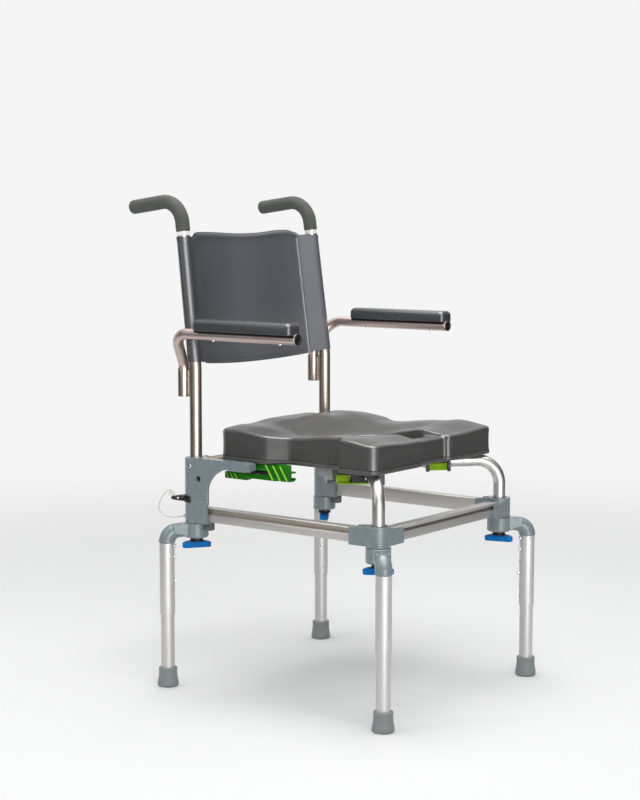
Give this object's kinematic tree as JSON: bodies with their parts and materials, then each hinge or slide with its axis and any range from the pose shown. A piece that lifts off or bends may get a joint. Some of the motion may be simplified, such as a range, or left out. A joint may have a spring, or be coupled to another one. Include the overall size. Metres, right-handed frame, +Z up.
{
  "type": "transfer and commode chair on a static frame",
  "caption": "Over-toilet transfer chair: rail frame on telescopic legs, contoured commode seat, sling back with push grips and swing-away armrests.",
  "frame": {"origin": "bottom centre of the whole chair, on the floor under the middle of its bounding box", "axes": "+Z up; the sitter faces -Y; +X is the sitter's left"},
  "size_m": [0.576, 0.7098, 1.0225],
  "materials": {
    "casting": "fine satin",
    "anodised_tube": "satin anodised",
    "rail": "satin anodised",
    "nickel_tube": "warm satin",
    "rubber_tip": "matte",
    "black_plastic": "matte",
    "blue_plastic": "satin",
    "button_steel": "polished",
    "sling_cloth": "coated cloth",
    "grip_foam": "fine foam",
    "arm_pad": "satin",
    "cushion": "satin skin",
    "tray": "satin",
    "lime_plastic": "satin",
    "green_plastic": "satin",
    "lanyard": "satin"
  },
  "bodies": {
    "frame": {"side_rail_right": "rail", "corner_connector_right": "casting", "seat_tube_right": "anodised_tube", "rear_bracket_right": "casting", "back_post_right": "nickel_tube", "push_grip_right": "grip_foam", "front_clip_right": "black_plastic", "side_rail_left": "rail", "corner_connector_left": "casting", "seat_tube_left": "anodised_tube", "rear_bracket_left": "casting", "back_post_left": "nickel_tube", "push_grip_left": "grip_foam", "front_clip_left": "black_plastic", "front_rail": "rail", "rear_cross_tube": "nickel_tube", "back_sling": "sling_cloth", "seat_tray": "tray", "seat_cushion": "cushion", "pin_lanyard": "lanyard"},
    "leg_arm_front_right": {"leg_elbow_front_right": "casting", "leg_outer_tube_front_right": "anodised_tube"},
    "leg_foot_front_right": {"leg_inner_tube_front_right": "anodised_tube", "leg_tip_front_right": "rubber_tip"},
    "button_front_right": {"snap_button_front_right": "button_steel"},
    "clamp_front_right": {"clamp_collar_front_right": "black_plastic", "clamp_lever_front_right": "blue_plastic"},
    "leg_arm_front_left": {"leg_elbow_front_left": "casting", "leg_outer_tube_front_left": "anodised_tube"},
    "leg_foot_front_left": {"leg_inner_tube_front_left": "anodised_tube", "leg_tip_front_left": "rubber_tip"},
    "button_front_left": {"snap_button_front_left": "button_steel"},
    "clamp_front_left": {"clamp_collar_front_left": "black_plastic", "clamp_lever_front_left": "blue_plastic"},
    "leg_arm_rear_right": {"leg_elbow_rear_right": "casting", "leg_outer_tube_rear_right": "anodised_tube"},
    "leg_foot_rear_right": {"leg_inner_tube_rear_right": "anodised_tube", "leg_tip_rear_right": "rubber_tip"},
    "button_rear_right": {"snap_button_rear_right": "button_steel"},
    "clamp_rear_right": {"clamp_collar_rear_right": "black_plastic", "clamp_lever_rear_right": "blue_plastic"},
    "leg_arm_rear_left": {"leg_elbow_rear_left": "casting", "leg_outer_tube_rear_left": "anodised_tube"},
    "leg_foot_rear_left": {"leg_inner_tube_rear_left": "anodised_tube", "leg_tip_rear_left": "rubber_tip"},
    "button_rear_left": {"snap_button_rear_left": "button_steel"},
    "clamp_rear_left": {"clamp_collar_rear_left": "black_plastic", "clamp_lever_rear_left": "blue_plastic"},
    "armrest_right": {"arm_tube_right": "nickel_tube", "arm_pad_right": "arm_pad", "arm_plug_right": "black_plastic"},
    "armrest_left": {"arm_tube_left": "nickel_tube", "arm_pad_left": "arm_pad", "arm_plug_left": "black_plastic"},
    "clip_catch_right": {"clip_lever_right": "lime_plastic"},
    "clip_catch_left": {"clip_lever_left": "lime_plastic"},
    "latch_right": {"rear_latch_right": "green_plastic"},
    "latch_left": {"rear_latch_left": "green_plastic"},
    "pin": {"retaining_pin": "black_plastic"}
  },
  "joints": [
    {"name": "leg_swing_front_right", "type": "hinge", "parent": "frame", "child": "leg_arm_front_right", "pos_m": [-0.2205, -0.28881, 0.33], "axis": [0, 0, 1], "range_deg": [-90, 90]},
    {"name": "leg_length_front_right", "type": "slide", "parent": "leg_arm_front_right", "child": "leg_foot_front_right", "axis": [0, 0, 1], "range_m": [-0.0508, 0.0254], "deforming": ["snap_button_front_right"]},
    {"name": "button_press_front_right", "type": "slide", "parent": "leg_foot_front_right", "child": "button_front_right", "axis": [-0.7071, -0.7071, 0], "range_m": [0, 0.0045], "stiffness_N_per_m": 1500, "springref_m": -0.003},
    {"name": "clamp_turn_front_right", "type": "hinge", "parent": "frame", "child": "clamp_front_right", "pos_m": [-0.2205, -0.28881, 0.295], "axis": [0, 0, 1], "range_deg": [-90, 90]},
    {"name": "leg_swing_front_left", "type": "hinge", "parent": "frame", "child": "leg_arm_front_left", "pos_m": [0.2205, -0.28881, 0.33], "axis": [0, 0, 1], "range_deg": [-90, 90]},
    {"name": "leg_length_front_left", "type": "slide", "parent": "leg_arm_front_left", "child": "leg_foot_front_left", "axis": [0, 0, 1], "range_m": [-0.0508, 0.0254], "deforming": ["snap_button_front_left"]},
    {"name": "button_press_front_left", "type": "slide", "parent": "leg_foot_front_left", "child": "button_front_left", "axis": [0.7071, -0.7071, 0], "range_m": [0, 0.0045], "stiffness_N_per_m": 1500, "springref_m": -0.003},
    {"name": "clamp_turn_front_left", "type": "hinge", "parent": "frame", "child": "clamp_front_left", "pos_m": [0.2205, -0.28881, 0.295], "axis": [0, 0, 1], "range_deg": [-90, 90]},
    {"name": "leg_swing_rear_right", "type": "hinge", "parent": "frame", "child": "leg_arm_rear_right", "pos_m": [-0.2205, 0.17519, 0.33], "axis": [0, 0, 1], "range_deg": [-90, 70]},
    {"name": "leg_length_rear_right", "type": "slide", "parent": "leg_arm_rear_right", "child": "leg_foot_rear_right", "axis": [0, 0, 1], "range_m": [-0.0508, 0.0254], "deforming": ["snap_button_rear_right"]},
    {"name": "button_press_rear_right", "type": "slide", "parent": "leg_foot_rear_right", "child": "button_rear_right", "axis": [-0.7071, 0.7071, 0], "range_m": [0, 0.0045], "stiffness_N_per_m": 1500, "springref_m": -0.003},
    {"name": "clamp_turn_rear_right", "type": "hinge", "parent": "frame", "child": "clamp_rear_right", "pos_m": [-0.2205, 0.17519, 0.295], "axis": [0, 0, 1], "range_deg": [-90, 90]},
    {"name": "leg_swing_rear_left", "type": "hinge", "parent": "frame", "child": "leg_arm_rear_left", "pos_m": [0.2205, 0.17519, 0.33], "axis": [0, 0, 1], "range_deg": [-70, 90]},
    {"name": "leg_length_rear_left", "type": "slide", "parent": "leg_arm_rear_left", "child": "leg_foot_rear_left", "axis": [0, 0, 1], "range_m": [-0.0508, 0.0254], "deforming": ["snap_button_rear_left"]},
    {"name": "button_press_rear_left", "type": "slide", "parent": "leg_foot_rear_left", "child": "button_rear_left", "axis": [0.7071, 0.7071, 0], "range_m": [0, 0.0045], "stiffness_N_per_m": 1500, "springref_m": -0.003},
    {"name": "clamp_turn_rear_left", "type": "hinge", "parent": "frame", "child": "clamp_rear_left", "pos_m": [0.2205, 0.17519, 0.295], "axis": [0, 0, 1], "range_deg": [-90, 90]},
    {"name": "armrest_swing_right", "type": "hinge", "parent": "frame", "child": "armrest_right", "pos_m": [-0.2205, 0.20719, 0.64], "axis": [0, 0, -1], "range_deg": [0, 120]},
    {"name": "armrest_swing_left", "type": "hinge", "parent": "frame", "child": "armrest_left", "pos_m": [0.2205, 0.20719, 0.64], "axis": [0, 0, 1], "range_deg": [0, 120]},
    {"name": "clip_release_right", "type": "hinge", "parent": "frame", "child": "clip_catch_right", "pos_m": [-0.10587, -0.20914, 0.462], "axis": [-0.7431, -0.6691, 0], "range_deg": [0, 90]},
    {"name": "clip_release_left", "type": "hinge", "parent": "frame", "child": "clip_catch_left", "pos_m": [0.10587, -0.20914, 0.462], "axis": [-0.7431, 0.6691, 0], "range_deg": [0, 90]},
    {"name": "rear_latch_slide_right", "type": "slide", "parent": "frame", "child": "latch_right", "axis": [0, -1, 0], "range_m": [0, 0.012]},
    {"name": "rear_latch_slide_left", "type": "slide", "parent": "frame", "child": "latch_left", "axis": [0, -1, 0], "range_m": [0, 0.012]},
    {"name": "pin_pull", "type": "slide", "parent": "frame", "child": "pin", "axis": [-0.6, 0.8, 0], "range_m": [0, 0.03], "deforming": ["pin_lanyard"]}
  ]
}
